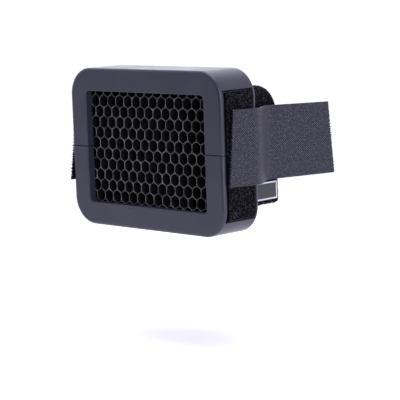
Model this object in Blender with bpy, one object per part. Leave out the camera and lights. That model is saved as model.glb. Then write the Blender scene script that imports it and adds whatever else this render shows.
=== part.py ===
"""Honeycomb grid for a camera flash head, with the hook tabs and the strap that carry it.

Metres, +Z up. The grid faces -Y. The origin is the middle of the frame's rear plane, where the
flash head meets the grid, so the head's own space runs from there along +Y.
"""

import math

import bmesh
import bpy
from mathutils import Vector

for old in list(bpy.data.objects):
    bpy.data.objects.remove(old, do_unlink=True)

MM = 0.001
GAP = 0.3 * MM  # between pieces that touch

# Frame: two moulded halves, each a channel around half of the core
FRAME_WIDTH = 110.5 * MM
FRAME_HEIGHT = 82.5 * MM
FRAME_DEPTH = 25 * MM
CORNER_RADIUS = 14.3 * MM
CORNER_STEPS = 10
FRONT_FILLET = 1.6 * MM
REAR_FILLET = 1.2 * MM
FILLET_STEPS = 4
BEZEL_WIDTH = 12 * MM
BEZEL_THICKNESS = 2.4 * MM
MOUTH_BEVEL = 0.4 * MM
LIP_DEPTH = 4.1 * MM  # how far the core sits behind the front face
LIP_THICKNESS = 2.0 * MM
WALL = 3.4 * MM
REAR_FLANGE = 2.3 * MM
RIB_THICKNESS = 1.6 * MM
RIB_SPACING = 30 * MM  # along the top and the bottom
SIDE_RIB_ROW = 3  # the row of the core that the side ribs centre, above and below
PEG_RADIUS = 1.0 * MM
PEG_LENGTH = 5 * MM
BOSS_HEIGHT = 9 * MM
BOSS_DEPTH = 6 * MM
BOSS_REACH = 3.2 * MM  # from the wall towards the core

# Core: thin-walled tubes fused side by side into rows, and the rows into a block
TUBE_PITCH = 6.2 * MM
ROW_PITCH = 5.54 * MM
TUBE_HALF_WIDTH = 2.95 * MM  # each row keeps clear of the next
TUBE_HALF_HEIGHT = 3.05 * MM
TUBE_WALL = 0.3 * MM
TUBE_SIDES = 8
FIRST_ROW = -6
ROWS = 12
TUBES_EVEN = 14  # in every second row, counted from the row nearest the middle
TUBES_ODD = 15
CORE_CENTRE_X = 1.95 * MM  # a tube's centre
CORE_CENTRE_Z = 1.86 * MM
CORE_LEAN = 0.036  # the rows step sideways as they rise
CORE_TILT = 0.0056  # and climb a little to the right
CORE_FRONT = LIP_DEPTH + GAP
CORE_REAR = FRAME_DEPTH - REAR_FLANGE - GAP

# Loop pads, one stuck in a recess in each side wall
PAD_WIDTH = 19 * MM
PAD_TOP = 30.8 * MM
PAD_BOTTOM = -32.7 * MM
PAD_FRONT = 3.9 * MM
PAD_THICKNESS = 1.5 * MM
PAD_RECESS = 2.2 * MM
ADHESIVE = 0.3 * MM
PAD_MARGIN = 0.8 * MM  # around a pad in its recess
PAD_SETBACK = 1.8 * MM  # in front of it
PAD_STATIONS = 16

# Hook tabs, from the pads back onto the strap
TAB_WIDTH = 38 * MM
TAB_THICKNESS = 1.6 * MM
RIGHT_TAB_HEIGHT = 2.45 * MM  # the tab's middle at the frame's rear rim
LEFT_TAB_HEIGHT = -0.4 * MM
TAB_DROOP = 0.039  # fall per length towards the rear
TAB_HINGE = 1.15 * MM  # behind the rear rim
TAB_BEND_START = -4 * MM
TAB_BEND_END = 24.5 * MM
TAB_ANCHOR_STEPS = 3
TAB_BEND_STEPS = 10
TAB_REAR_TOP = 69 * MM
TAB_REAR_BOTTOM = 72.7 * MM
RIGHT_TAB_FRONT_TOP = -18.4 * MM
RIGHT_TAB_FRONT_BOTTOM = -22.3 * MM
LEFT_TAB_FRONT_TOP = -20.2 * MM
LEFT_TAB_FRONT_BOTTOM = -25.5 * MM

# Strap around the flash head: loop tape outside, rubber inside
BAND_HALF_WIDTH = 41.1 * MM
BAND_TOP = 30 * MM
BAND_BOTTOM = -30.8 * MM
BAND_TOP_RADIUS = 13 * MM
BAND_BOTTOM_RADIUS = 2.5 * MM
FOOT_STEPS = 4  # round the strap's lower corners
BAND_FRONT = 0.5 * MM
BAND_WIDTH = 30 * MM
TAPE = 1.2 * MM
LINING = 0.8 * MM
BAND_START = -13 * MM  # where the inner layer begins under the head
BAND_END = -23 * MM  # where the overlapping end begins
TAIL_RAMP_END = -12 * MM
TAIL_TIP = 28 * MM
TAIL_DROP = 2.7 * MM
TAIL_STEPS = 6
PATCH_START = -9 * MM
PATCH_END = 26 * MM
PATCH_MARGIN = 1.5 * MM
HOOK_PATCH = 0.9 * MM
LABEL_LENGTH = 28 * MM
LABEL_TOP = -18.5 * MM
LABEL_BOTTOM = -28.3 * MM
LABEL = 0.4 * MM  # sewn down into the pile, so the tab passes over it
LABEL_MARGIN = 1 * MM  # from the strap's rear edge

PAD_FACE = FRAME_WIDTH / 2 - PAD_RECESS + 2 * GAP + ADHESIVE + PAD_THICKNESS
TAB_OUTER = PAD_FACE + GAP + TAB_THICKNESS
TAB_REST = BAND_HALF_WIDTH + GAP + TAB_THICKNESS


# Materials

def material(name, colour, roughness, metallic=0.0):
    made = bpy.data.materials.new(name)
    made.use_nodes = True
    shader = made.node_tree.nodes["Principled BSDF"]
    shader.inputs["Base Color"].default_value = (*colour, 1)
    shader.inputs["Roughness"].default_value = roughness
    shader.inputs["Metallic"].default_value = metallic
    return made


FRAME_PLASTIC = material("frame_plastic", (0.052, 0.053, 0.078), 0.5)
CORE_PLASTIC = material("core_plastic", (0.02, 0.019, 0.018), 0.45)
LOOP_PILE = material("loop_pile", (0.012, 0.011, 0.017), 0.95)
HOOK_TAPE = material("hook_tape", (0.055, 0.055, 0.075), 0.75)
STRAP_RUBBER = material("strap_rubber", (0.015, 0.015, 0.016), 0.8)
PAD_GLUE = material("pad_glue", (0.3, 0.3, 0.28), 0.5)
LABEL_CLOTH = material("label_cloth", (0.03, 0.03, 0.035), 0.7)


# Shapes

def arc(centre, radius, start, end, steps):
    """Stations on an arc, each a point and the direction into the shape, from start to end degrees."""
    stations = []
    for i in range(steps + 1):
        angle = math.radians(start + (end - start) * i / steps)
        outward = Vector((math.cos(angle), math.sin(angle)))
        stations.append((Vector(centre) + radius * outward, -outward))
    return stations


def mitred(points):
    """Stations along a line of points, whose offsets keep the line's own thickness."""
    points = [Vector(p) for p in points]
    stations = []
    for i, point in enumerate(points):
        before = (point - points[i - 1]).normalized() if i else None
        after = (points[i + 1] - point).normalized() if i + 1 < len(points) else None
        run = ((before or after) + (after or before)).normalized()
        side = Vector((-run.y, run.x))
        stretch = 1 / max(run.dot(after or before), 0.5)
        stations.append((point, side * stretch))
    return stations


def in_elevation(point, y):
    """A point of the front view at depth y."""
    return Vector((point.x, y, point.y))


def sweep(name, stations, section, look, pivot=None, place=in_elevation):
    """A solid of one closed section, of (offset, across) pairs, carried along the stations."""
    mesh = bmesh.new()
    loops = []
    for base, inward in stations:
        loops.append([mesh.verts.new(place(base + inward * d, t)) for d, t in section])
    count = len(section)
    for here, there in zip(loops, loops[1:]):
        for i in range(count):
            j = (i + 1) % count
            mesh.faces.new((here[i], here[j], there[j], there[i]))
    mesh.faces.new(loops[0])
    mesh.faces.new(list(reversed(loops[-1])))
    return finish(name, mesh, look, pivot)


def finish(name, mesh, look, pivot=None):
    """The object of a bmesh, with its origin on its pivot."""
    bmesh.ops.recalc_face_normals(mesh, faces=mesh.faces[:])
    if pivot:
        bmesh.ops.translate(mesh, verts=mesh.verts[:], vec=-pivot.location)
    data = bpy.data.meshes.new(name)
    mesh.to_mesh(data)
    mesh.free()
    made = bpy.data.objects.new(name, data)
    bpy.context.scene.collection.objects.link(made)
    if look:
        data.materials.append(look)
    if pivot:
        made.parent = pivot
    return made


def pivot_at(name, place):
    made = bpy.data.objects.new(name, None)
    made.location = place
    bpy.context.scene.collection.objects.link(made)
    return made


def add_box(mesh, low, high):
    corners = bmesh.ops.create_cube(mesh, size=1)["verts"]
    for vert in corners:
        for axis in range(3):
            share = vert.co[axis] + 0.5
            vert.co[axis] = low[axis] + share * (high[axis] - low[axis])


def add_rod(mesh, centre, radius, length, sides=24):
    """A rod standing on its centre point."""
    made = bmesh.ops.create_cone(
        mesh, cap_ends=True, segments=sides, radius1=radius, radius2=radius, depth=length
    )
    middle = Vector(centre) + Vector((0, 0, length / 2))
    bmesh.ops.translate(mesh, verts=made["verts"], vec=middle)


def tool(name, mesh):
    """A shape that only cuts or joins."""
    made = finish(name, mesh, None)
    made.hide_render = True
    made.display_type = "WIRE"
    return made


def combine(target, operation, shape):
    step = target.modifiers.new(shape.name, "BOOLEAN")
    step.operation = operation
    step.object = shape
    step.solver = "EXACT"


def plane(inset, depth):
    """A section point of the frame: inset from its outside, depth behind its front face."""
    return inset, depth - FRAME_DEPTH


# Frame

def frame_section():
    """The channel that each half is moulded as, with round outer edges and lips that hold the core."""
    front = [
        plane(FRONT_FILLET - FRONT_FILLET * math.cos(a), FRONT_FILLET - FRONT_FILLET * math.sin(a))
        for a in [math.pi / 2 * i / FILLET_STEPS for i in range(FILLET_STEPS + 1)]
    ]
    rear = [
        plane(REAR_FILLET - REAR_FILLET * math.sin(a), FRAME_DEPTH - REAR_FILLET + REAR_FILLET * math.cos(a))
        for a in [math.pi / 2 * i / FILLET_STEPS for i in range(FILLET_STEPS + 1)]
    ]
    inside = BEZEL_WIDTH - LIP_THICKNESS
    return [
        *front,
        plane(BEZEL_WIDTH - MOUTH_BEVEL, 0),
        plane(BEZEL_WIDTH, MOUTH_BEVEL),
        plane(BEZEL_WIDTH, LIP_DEPTH),
        plane(inside, LIP_DEPTH),
        plane(inside, BEZEL_THICKNESS),
        plane(WALL, BEZEL_THICKNESS),
        plane(WALL, FRAME_DEPTH - REAR_FLANGE),
        plane(BEZEL_WIDTH, FRAME_DEPTH - REAR_FLANGE),
        plane(BEZEL_WIDTH, FRAME_DEPTH - MOUTH_BEVEL),
        plane(BEZEL_WIDTH - MOUTH_BEVEL, FRAME_DEPTH),
        *rear,
    ]


def half_outline(up):
    """Stations round one half of the frame, from its right end to its left; up is 1 or -1."""
    x = FRAME_WIDTH / 2
    z = FRAME_HEIGHT / 2
    bend_x = x - CORNER_RADIUS
    bend_z = z - CORNER_RADIUS
    stations = [(Vector((x, GAP / 2)), Vector((-1, 0)))]
    stations += arc((bend_x, bend_z), CORNER_RADIUS, 0, 90, CORNER_STEPS)
    stations += arc((-bend_x, bend_z), CORNER_RADIUS, 90, 180, CORNER_STEPS)
    stations.append((Vector((-x, GAP / 2)), Vector((1, 0))))
    return [(Vector((p.x, up * p.y)), Vector((d.x, up * d.y))) for p, d in stations]


def wall_stations(side, low, high, count=PAD_STATIONS):
    """Stations up one side wall, round the starts of its corners; side is 1 or -1."""
    stations = []
    for i in range(count + 1):
        z = low + (high - low) * i / count
        past = max(abs(z) - (FRAME_HEIGHT / 2 - CORNER_RADIUS), 0)
        outward = Vector((math.sqrt(CORNER_RADIUS**2 - past**2), math.copysign(past, z))) / CORNER_RADIUS
        x = FRAME_WIDTH / 2 - CORNER_RADIUS + CORNER_RADIUS * outward.x
        stations.append((Vector((side * x, z)), Vector((-side * outward.x, -outward.y))))
    return stations


def across(front, width):
    """The two depths of a strip that starts front behind the frame's front face."""
    return front - FRAME_DEPTH, front + width - FRAME_DEPTH


def slab(inner, outer, front, rear):
    return [(outer, front), (outer, rear), (inner, rear), (inner, front)]


def row_run(row):
    """A row's left end before it leans, and its number of tubes."""
    tubes = TUBES_ODD if row % 2 else TUBES_EVEN
    return CORE_CENTRE_X - (tubes + 1) / 2 * TUBE_PITCH, tubes


def row_level(row):
    return CORE_CENTRE_Z + row * ROW_PITCH


def core_reach(up):
    """How far the core reaches above the middle, or below it."""
    row = FIRST_ROW + ROWS - 1 if up > 0 else FIRST_ROW
    return up * row_level(row) + TUBE_HALF_HEIGHT + CORE_TILT * FRAME_WIDTH / 2


def rib_mesh(up):
    """Ribs that centre the core, and the bosses where the halves locate, as separate blocks."""
    mesh = bmesh.new()
    front, rear = across(BEZEL_THICKNESS - GAP, FRAME_DEPTH - REAR_FLANGE - BEZEL_THICKNESS + 2 * GAP)
    half = RIB_THICKNESS / 2
    low = core_reach(up) + GAP
    high = FRAME_HEIGHT / 2 - WALL + GAP
    for x in (-RIB_SPACING, 0, RIB_SPACING):
        levels = sorted((up * low, up * high))
        add_box(mesh, (x - half, front, levels[0]), (x + half, rear, levels[1]))
    level = row_level(up * SIDE_RIB_ROW)
    sway = CORE_LEAN * abs(level) + 2 * GAP
    left, tubes = row_run(SIDE_RIB_ROW)
    for side, edge in ((-1, left), (1, left + tubes * TUBE_PITCH)):
        wall = side * (FRAME_WIDTH / 2 - WALL + GAP)
        reach = sorted((edge + side * sway, wall))
        add_box(mesh, (reach[0], front, level - half), (reach[1], rear, level + half))
        boss = sorted((wall - side * BOSS_REACH, wall))
        middle = -FRAME_DEPTH / 2
        levels = sorted((up * GAP / 2, up * BOSS_HEIGHT))
        add_box(
            mesh,
            (boss[0], middle - BOSS_DEPTH / 2, levels[0]),
            (boss[1], middle + BOSS_DEPTH / 2, levels[1]),
        )
    return mesh


def peg_mesh(radius, low, length):
    mesh = bmesh.new()
    for side in (-1, 1):
        x = side * (FRAME_WIDTH / 2 - WALL - BOSS_REACH / 2 + 2 * GAP)
        add_rod(mesh, (x, -FRAME_DEPTH / 2, low), radius, length)
    return mesh


def recess_cutter(side):
    """The shallow recess in a side wall that takes a loop pad."""
    front, rear = across(PAD_FRONT - PAD_SETBACK, PAD_WIDTH + PAD_SETBACK + PAD_MARGIN)
    stations = wall_stations(side, PAD_BOTTOM - PAD_MARGIN, PAD_TOP + PAD_MARGIN)
    made = sweep(f"recess_cutter_{side}", stations, slab(PAD_RECESS, -WALL, front, rear), None)
    made.hide_render = True
    made.display_type = "WIRE"
    return made


def build_frame():
    upper = sweep("upper_frame", half_outline(1), frame_section(), FRAME_PLASTIC)
    lower = sweep("lower_frame", half_outline(-1), frame_section(), FRAME_PLASTIC)
    peg_low = -PEG_LENGTH
    pegs = tool("peg_tool", peg_mesh(PEG_RADIUS, peg_low, 2 * PEG_LENGTH))
    sockets = tool("socket_tool", peg_mesh(PEG_RADIUS + GAP, peg_low, 2 * PEG_LENGTH + GAP))
    recesses = [recess_cutter(side) for side in (-1, 1)]
    combine(upper, "UNION", tool("upper_ribs", rib_mesh(1)))
    combine(upper, "DIFFERENCE", sockets)
    combine(lower, "UNION", tool("lower_ribs", rib_mesh(-1)))
    combine(lower, "UNION", pegs)
    for half in (upper, lower):
        for recess in recesses:
            combine(half, "DIFFERENCE", recess)


# Core

def tube_outline(centre, half_width, half_height):
    """Points round a tube in the front view, with an upright flat at each side."""
    points = []
    for i in range(TUBE_SIDES):
        angle = 2 * math.pi * (i - 0.5) / TUBE_SIDES
        points.append(centre + Vector((half_width * math.cos(angle), half_height * math.sin(angle))))
    return points


def outer_outline(centre):
    """A tube's outside, whose side flats are shared with the tubes beside it."""
    points = tube_outline(centre, TUBE_HALF_WIDTH, TUBE_HALF_HEIGHT)
    opposite = TUBE_SIDES // 2
    for i in (0, 1):
        points[i].x = centre.x + TUBE_PITCH / 2
        points[opposite + i].x = centre.x - TUBE_PITCH / 2
    return points


def core_place(point, depth):
    return Vector((point.x + CORE_LEAN * point.y, depth - FRAME_DEPTH, point.y + CORE_TILT * point.x))


def build_row(row):
    """One row of fused tubes: a ring of walls round each hole, joined where the side flats meet."""
    mesh = bmesh.new()
    start, tubes = row_run(row)
    half = TUBE_SIDES // 2
    for t in range(tubes):
        centre = Vector((start + (t + 0.5) * TUBE_PITCH, row_level(row)))
        outer = outer_outline(centre)
        inner = tube_outline(centre, TUBE_HALF_WIDTH - TUBE_WALL, TUBE_HALF_HEIGHT - TUBE_WALL)
        rings = [[mesh.verts.new(core_place(p, depth)) for p in ring]
                 for ring in (outer, inner) for depth in (CORE_FRONT, CORE_REAR)]
        outer_front, outer_rear, inner_front, inner_rear = rings
        for i in range(TUBE_SIDES):
            j = (i + 1) % TUBE_SIDES
            mesh.faces.new((outer_front[i], outer_front[j], inner_front[j], inner_front[i]))
            mesh.faces.new((outer_rear[j], outer_rear[i], inner_rear[i], inner_rear[j]))
            mesh.faces.new((inner_front[i], inner_front[j], inner_rear[j], inner_rear[i]))
            inside_row = (i == 0 and t < tubes - 1) or (i == half and t > 0)
            if not inside_row:
                mesh.faces.new((outer_front[j], outer_front[i], outer_rear[i], outer_rear[j]))
    bmesh.ops.remove_doubles(mesh, verts=mesh.verts[:], dist=MM / 1000)
    finish(f"core_row_{row - FIRST_ROW + 1:02d}", mesh, CORE_PLASTIC)


def build_core():
    for row in range(FIRST_ROW, FIRST_ROW + ROWS):
        build_row(row)


# Pads

def build_pads():
    front, rear = across(PAD_FRONT, PAD_WIDTH)
    glue_out = PAD_RECESS - GAP - ADHESIVE
    pad_in = glue_out - GAP
    glue_section = slab(PAD_RECESS - GAP, glue_out, front, rear)
    pad_section = slab(pad_in, pad_in - PAD_THICKNESS, front, rear)
    for word, side in (("right", 1), ("left", -1)):
        stations = wall_stations(side, PAD_BOTTOM, PAD_TOP)
        sweep(f"{word}_pad_adhesive", stations, glue_section, PAD_GLUE)
        sweep(f"{word}_loop_pad", stations, pad_section, LOOP_PILE)


# Hook tabs

def tab_x(y):
    """How far out a tab's outer face stands at depth y, falling in a smooth bend over the rim."""
    share = min(max((y - TAB_BEND_START) / (TAB_BEND_END - TAB_BEND_START), 0), 1)
    return TAB_OUTER + (TAB_REST - TAB_OUTER) * (1 - math.cos(math.pi * share)) / 2


def tab_piece(name, side, depths, ends, pivot=None):
    """One length of a tab. ends gives each end's depth at the lower and the upper edge, or None."""
    stations = mitred([(side * tab_x(y), y) for y in depths])
    height = RIGHT_TAB_HEIGHT if side > 0 else LEFT_TAB_HEIGHT
    first, last = depths[0], depths[-1]

    def place(point, edge):
        y = point.y
        end = ends[0] if abs(y - first) < MM / 2 else ends[1] if abs(y - last) < MM / 2 else None
        if end:
            y = end[0] if edge < 0 else end[1]
        middle = height - TAB_DROOP * y
        return Vector((point.x, y, middle + edge * TAB_WIDTH / 2))

    return sweep(name, stations, [(0, -1), (0, 1), (side * TAB_THICKNESS, 1), (side * TAB_THICKNESS, -1)],
                 HOOK_TAPE, pivot, place)


def build_tabs():
    fronts = {
        "right": (RIGHT_TAB_FRONT_BOTTOM, RIGHT_TAB_FRONT_TOP),
        "left": (LEFT_TAB_FRONT_BOTTOM, LEFT_TAB_FRONT_TOP),
    }
    rear = (TAB_REAR_BOTTOM, TAB_REAR_TOP)
    start = TAB_HINGE + GAP / 2
    bend = [start + (TAB_BEND_END - start) * i / TAB_BEND_STEPS for i in range(TAB_BEND_STEPS + 1)]
    stop = TAB_HINGE - GAP / 2
    rise = (stop - TAB_BEND_START) / TAB_ANCHOR_STEPS
    held = [TAB_BEND_START + rise * i for i in range(TAB_ANCHOR_STEPS + 1)]
    for word, side in (("right", 1), ("left", -1)):
        front = fronts[word]
        pivot = pivot_at(f"{word}_tab_pivot", (side * (tab_x(TAB_HINGE) + GAP / 2), TAB_HINGE, 0))
        tab_piece(f"{word}_tab_anchor", side, [sum(front) / 2, *held], (front, None))
        tab_piece(f"{word}_tab_flap", side, [*bend, sum(rear) / 2], (None, rear), pivot)


# Strap

def band_stations():
    """Stations round the head from the strap's start, under the head, to where its end laps over."""
    side, low, high = BAND_HALF_WIDTH, BAND_BOTTOM, BAND_TOP
    foot, shoulder = BAND_BOTTOM_RADIUS, BAND_TOP_RADIUS
    up = Vector((0, 1))
    return [
        (Vector((BAND_START, low)), up),
        *arc((side - foot, low + foot), foot, -90, 0, FOOT_STEPS),
        *arc((side - shoulder, high - shoulder), shoulder, 0, 90, CORNER_STEPS),
        *arc((shoulder - side, high - shoulder), shoulder, 90, 180, CORNER_STEPS),
        *arc((foot - side, low + foot), foot, 180, 270, FOOT_STEPS),
        (Vector((BAND_END, low)), up),
    ]


def tail_line():
    """The outer face of the overlapping end: a ramp off the strap, then flat below it."""
    ramp = []
    for i in range(TAIL_STEPS + 1):
        share = i / TAIL_STEPS
        x = BAND_END + GAP + (TAIL_RAMP_END - BAND_END - GAP) * share
        ramp.append((x, BAND_BOTTOM - TAIL_DROP * (1 - math.cos(math.pi * share)) / 2))
    return [*ramp, (TAIL_TIP, BAND_BOTTOM - TAIL_DROP)]


def build_strap():
    slider = pivot_at("strap_slider", (0, 0, 0))
    hinge = pivot_at("strap_end_pivot", (BAND_END + GAP / 2, 0, BAND_BOTTOM - GAP / 2))
    front, rear = BAND_FRONT, BAND_FRONT + BAND_WIDTH
    stations = band_stations()
    loop_tape = sweep("strap_loop_tape", stations, slab(TAPE, 0, front, rear), LOOP_PILE, slider)
    lining_in = TAPE + GAP + LINING
    sweep("strap_lining", stations, slab(lining_in, TAPE + GAP, front, rear), STRAP_RUBBER, slider)
    tail = slab(TAPE, 0, front, rear)
    sweep("strap_end", mitred(tail_line()), tail, LOOP_PILE, hinge)

    patch = bmesh.new()
    patch_high = BAND_BOTTOM - GAP
    add_box(
        patch,
        (PATCH_START, front + PATCH_MARGIN, patch_high - HOOK_PATCH),
        (PATCH_END, rear - PATCH_MARGIN, patch_high),
    )
    finish("strap_hook_patch", patch, HOOK_TAPE, hinge)

    label = bmesh.new()
    low = Vector((BAND_HALF_WIDTH - LABEL, rear - LABEL_MARGIN - LABEL_LENGTH, LABEL_BOTTOM))
    high = Vector((BAND_HALF_WIDTH, rear - LABEL_MARGIN, LABEL_TOP))
    add_box(label, low, high)
    finish("strap_label", label, LABEL_CLOTH, slider)
    pocket = bmesh.new()
    clearance = Vector((GAP, GAP, GAP))
    add_box(pocket, low - clearance, high + clearance)
    combine(loop_tape, "DIFFERENCE", tool("label_pocket", pocket))


build_frame()
build_core()
build_pads()
build_tabs()
build_strap()
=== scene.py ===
"""Honeycomb grid for a camera flash: its fine surface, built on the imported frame.

Metres, +Z up, in the part's own frame: the grid faces -Y and the flash head lies along +Y.
Every tape is a Strip: a line bent in one plane, and the direction in which the tape is wide.
"""

import math
import random

import bpy
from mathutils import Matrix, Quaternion, Vector, noise


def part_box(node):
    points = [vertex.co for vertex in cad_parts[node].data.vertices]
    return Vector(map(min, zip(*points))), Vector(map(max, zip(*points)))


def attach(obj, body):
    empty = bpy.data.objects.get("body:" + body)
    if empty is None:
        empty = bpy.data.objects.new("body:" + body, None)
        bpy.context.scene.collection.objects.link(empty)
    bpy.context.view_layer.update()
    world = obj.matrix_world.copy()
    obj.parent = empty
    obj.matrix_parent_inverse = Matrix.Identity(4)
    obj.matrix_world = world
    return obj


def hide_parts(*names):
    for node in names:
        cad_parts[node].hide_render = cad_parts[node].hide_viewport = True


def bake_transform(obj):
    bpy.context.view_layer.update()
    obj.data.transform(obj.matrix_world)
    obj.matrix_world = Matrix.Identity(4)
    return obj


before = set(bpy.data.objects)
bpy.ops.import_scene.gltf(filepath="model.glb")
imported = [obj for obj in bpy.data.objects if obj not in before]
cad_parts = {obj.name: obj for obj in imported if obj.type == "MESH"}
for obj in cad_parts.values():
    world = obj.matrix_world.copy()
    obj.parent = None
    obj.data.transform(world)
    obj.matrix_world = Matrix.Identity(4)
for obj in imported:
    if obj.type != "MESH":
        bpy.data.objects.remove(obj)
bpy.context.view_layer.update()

MM = 0.001

# Frame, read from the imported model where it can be
UPPER_LOW, UPPER_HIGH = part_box("upper_frame")
HALF_WIDTH = UPPER_HIGH.x
HALF_HEIGHT = UPPER_HIGH.z
DEPTH = -UPPER_LOW.y
SEAM = UPPER_LOW.z  # half the gap between the two halves
SEAM_EDGE = 0.2 * MM
CORNER_RADIUS = 14.3 * MM
CORNER_STEPS = 24
FRONT_FILLET = 1.6 * MM
REAR_FILLET = 1.2 * MM
FILLET_STEPS = 8
BEZEL_WIDTH = 12 * MM
BEZEL_THICKNESS = 2.4 * MM
MOUTH_ROUND = 0.4 * MM
MOUTH_STEPS = 4
LIP_DEPTH = 4.1 * MM
LIP_THICKNESS = 2 * MM
WALL = 3.4 * MM
REAR_FLANGE = 2.3 * MM
SUPPORT = 0.08 * MM  # keeps flat faces flat where they meet a rounded edge
RECESS = 2.2 * MM
RECESS_MARGIN = 0.8 * MM
RECESS_SETBACK = 1.8 * MM  # in front of a pad
RECESS_BEHIND = 0.35 * MM  # behind a pad
RECESS_RIM = 0.1 * MM  # the rounding of its rim
RECESS_EASE = 0.5  # degrees from the recess's floor up to its end
RECESS_CLEAR = 1  # degrees round its end without another station

# Core
TUBE_PITCH = 6.2 * MM
ROW_PITCH = 5.54 * MM
TUBE_PRESS = 7  # from 2, an oval, up to many, a hexagon with sharp corners
TUBE_WALL = 0.12 * MM
TUBE_SIDES = 36
TUBE_WANDER = 0.06 * MM
TUBE_WOBBLE = 0.015
TUBE_SEEDS = (17.3, 3.1)  # a row's and a tube's step through the noise
CUT_ROUND = 0.04 * MM
CUT_UNEVEN = 0.05 * MM
CUT_PALE = (0.15 * MM, 0.3 * MM)  # how far behind the front a cut's pale plastic starts and stops fading
FIRST_ROW = -6
ROWS = 12
TUBES = (14, 15)  # in even and odd rows, counted from the row nearest the middle
CORE_CENTRE_X = 1.95 * MM
CORE_CENTRE_Z = 1.86 * MM
CORE_LEAN = 0.036
CORE_TILT = 0.0056
CORE_LOW, CORE_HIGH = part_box("core_row_01")

# Loop pads
PAD_TOP = 30.8 * MM
PAD_BOTTOM = -32.7 * MM
PAD_LOW, PAD_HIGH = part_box("right_loop_pad")
PAD_CLOTH_TOP = 0.42 * MM  # the cloth's face below the pile's
PAD_CLOTH = 1.0 * MM
PAD_STEP = 0.5 * MM
PAD_BEND_STEPS = 10
PAD_PILE = 0.7 * MM
PAD_PILE_ROOT = 0.5 * MM
PAD_PILE_SPACING = 0.48 * MM
PAD_PILE_THREAD = 0.045 * MM
PAD_FUZZ = 0.5 * MM  # how far the pile reaches past a pad's top and bottom
PAD_SIDE_FUZZ = 0.2 * MM
PAD_SEAT = HALF_WIDTH - PAD_HIGH.x  # how deep a pad's outer face sits in the wall; below 0 is proud

# Hook tabs
TAB_WIDTH = 38 * MM
TAB_WEAVE = 0.3 * MM  # the woven face, over the black ground that the hooks grow from
TAB_CLOTH = 1.15 * MM  # the weave and the ground together
TAB_SHOWING = 0.3 * MM  # of the ground past the ends of the weave
TAB_HOOK = 0.45 * MM
TAB_HOOK_ROOT = TAB_CLOTH - 0.05 * MM
TAB_HOOK_SPACING = 0.95 * MM
TAB_HOOK_MARGIN = 0.2 * MM  # kept free at a cut end
TAB_FRAY = 1.7 * MM
HOOK_SELVEDGE = 0.8 * MM  # without hooks, inside a hook tape's sides and the patch's ends
HOOK_THREAD = 0.075 * MM
TAB_DROOP = 0.039
TAB_BEND_START = -4 * MM
TAB_BEND_END = 24.5 * MM
TAB_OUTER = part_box("right_tab_anchor")[1].x
TAB_THICKNESS = 1.6 * MM
TAB_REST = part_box("right_tab_flap")[0].x + TAB_THICKNESS
WEAVE_RUN = 1.75  # millimetres, as in the cloth's own coordinates
WEAVE_RISE = 1.22
TAB_HEIGHTS = {1: 2.45 * MM, -1: -0.4 * MM}
TAB_FRONTS = {1: (-22.3 * MM, -18.4 * MM), -1: (-25.5 * MM, -20.2 * MM)}
TAB_REAR = (72.7 * MM, 69 * MM)
TAB_STEPS = 160

# Strap
STRAP_LOW, STRAP_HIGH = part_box("strap_loop_tape")
BAND_HALF_WIDTH = STRAP_HIGH.x
BAND_TOP = STRAP_HIGH.z
BAND_BOTTOM = STRAP_LOW.z
BAND_FRONT = STRAP_LOW.y
BAND_REAR = STRAP_HIGH.y
BAND_TOP_RADIUS = 13 * MM
BAND_BOTTOM_RADIUS = 2.5 * MM
BAND_TOP_STEPS = 24
BAND_BOTTOM_STEPS = 12
TAPE = 1.2 * MM
TAPE_CLOTH_TOP = 0.4 * MM  # the cloth's face below the pile's
TAPE_EDGE = 0.3 * MM  # the tape's edge, bare of pile and lining
TAPE_PILE = 0.6 * MM
TAPE_PILE_ROOT = TAPE_CLOTH_TOP + 0.08 * MM
TAPE_PILE_SPACING = 0.85 * MM
TAPE_PILE_THREAD = 0.065 * MM
TAPE_SEAM_DEPTH = TAPE_CLOTH_TOP - 0.25 * MM  # a seam on the pile's side
LAYER_GAP = 0.02 * MM  # between a layer and the one it is sewn or stuck to
LINING = 0.8 * MM
LINING_START = 0.6 * MM
RIB_RUN = 1.1  # millimetres, as in the cloth's own coordinates
LINING_FACE = TAPE + 0.3 * MM + LINING
LINING_SEAM = 2 * MM  # in from the tape's sides and start
LINING_SEAM_CROSS = 2.5 * MM  # from the start, where it crosses the tape
LINING_SEAM_STOP = 1 * MM  # from the tape's end
BAND_START = -13 * MM
BAND_END = -23 * MM
TAIL_RAMP_END = -12 * MM
TAIL_TIP = 28 * MM
TAIL_DROP = 2.7 * MM
TAIL_STEPS = (12, 16, 20)  # before, down and after the ramp
LABEL_LOW, LABEL_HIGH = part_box("strap_label")
LABEL_STEPS = 24
LABEL_CLEAR = 0.3 * MM  # round the label, without pile
LABEL_SEAM = 0.35 * MM
LABEL_BORDER = (0.35, 1.1)  # millimetres in from the edge, as in the cloth's own coordinates
PATCH_LOW, PATCH_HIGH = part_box("strap_hook_patch")
PATCH_FACE = TAPE + 0.6 * MM
PATCH_HOOK = 0.6 * MM
PATCH_HOOK_ROOT = TAPE + 0.55 * MM
PATCH_HOOK_SPACING = 1.0 * MM
PATCH_SEAM = 1.6 * MM

# Seams: pitch, stitch length and thread radius
LINING_STITCH = (3 * MM, 2.2 * MM, 0.16 * MM)
LABEL_STITCH = (1.3 * MM, 0.95 * MM, 0.07 * MM)
PATCH_STITCH = (2.4 * MM, 1.8 * MM, 0.16 * MM)
STITCH_HEIGHT = 0.35 * MM
STITCH_TURN = 0.04  # radians that a stitch may turn from its seam

# Cloth
CLOTH_EDGE = 0.45 * MM  # the most that a cloth's sides are rounded
CLOTH_RIM = (0, 0.15, 0.5, 1)  # stations across the rounding
CLOTH_PINCH = 0.12  # of the thickness, where the ends are cut
FRAY_WAVES = 2.3  # a millimetre of the cut
LUMP_NOISE = (0.8, 2.0, 3)  # increment, lacunarity and octaves

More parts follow.
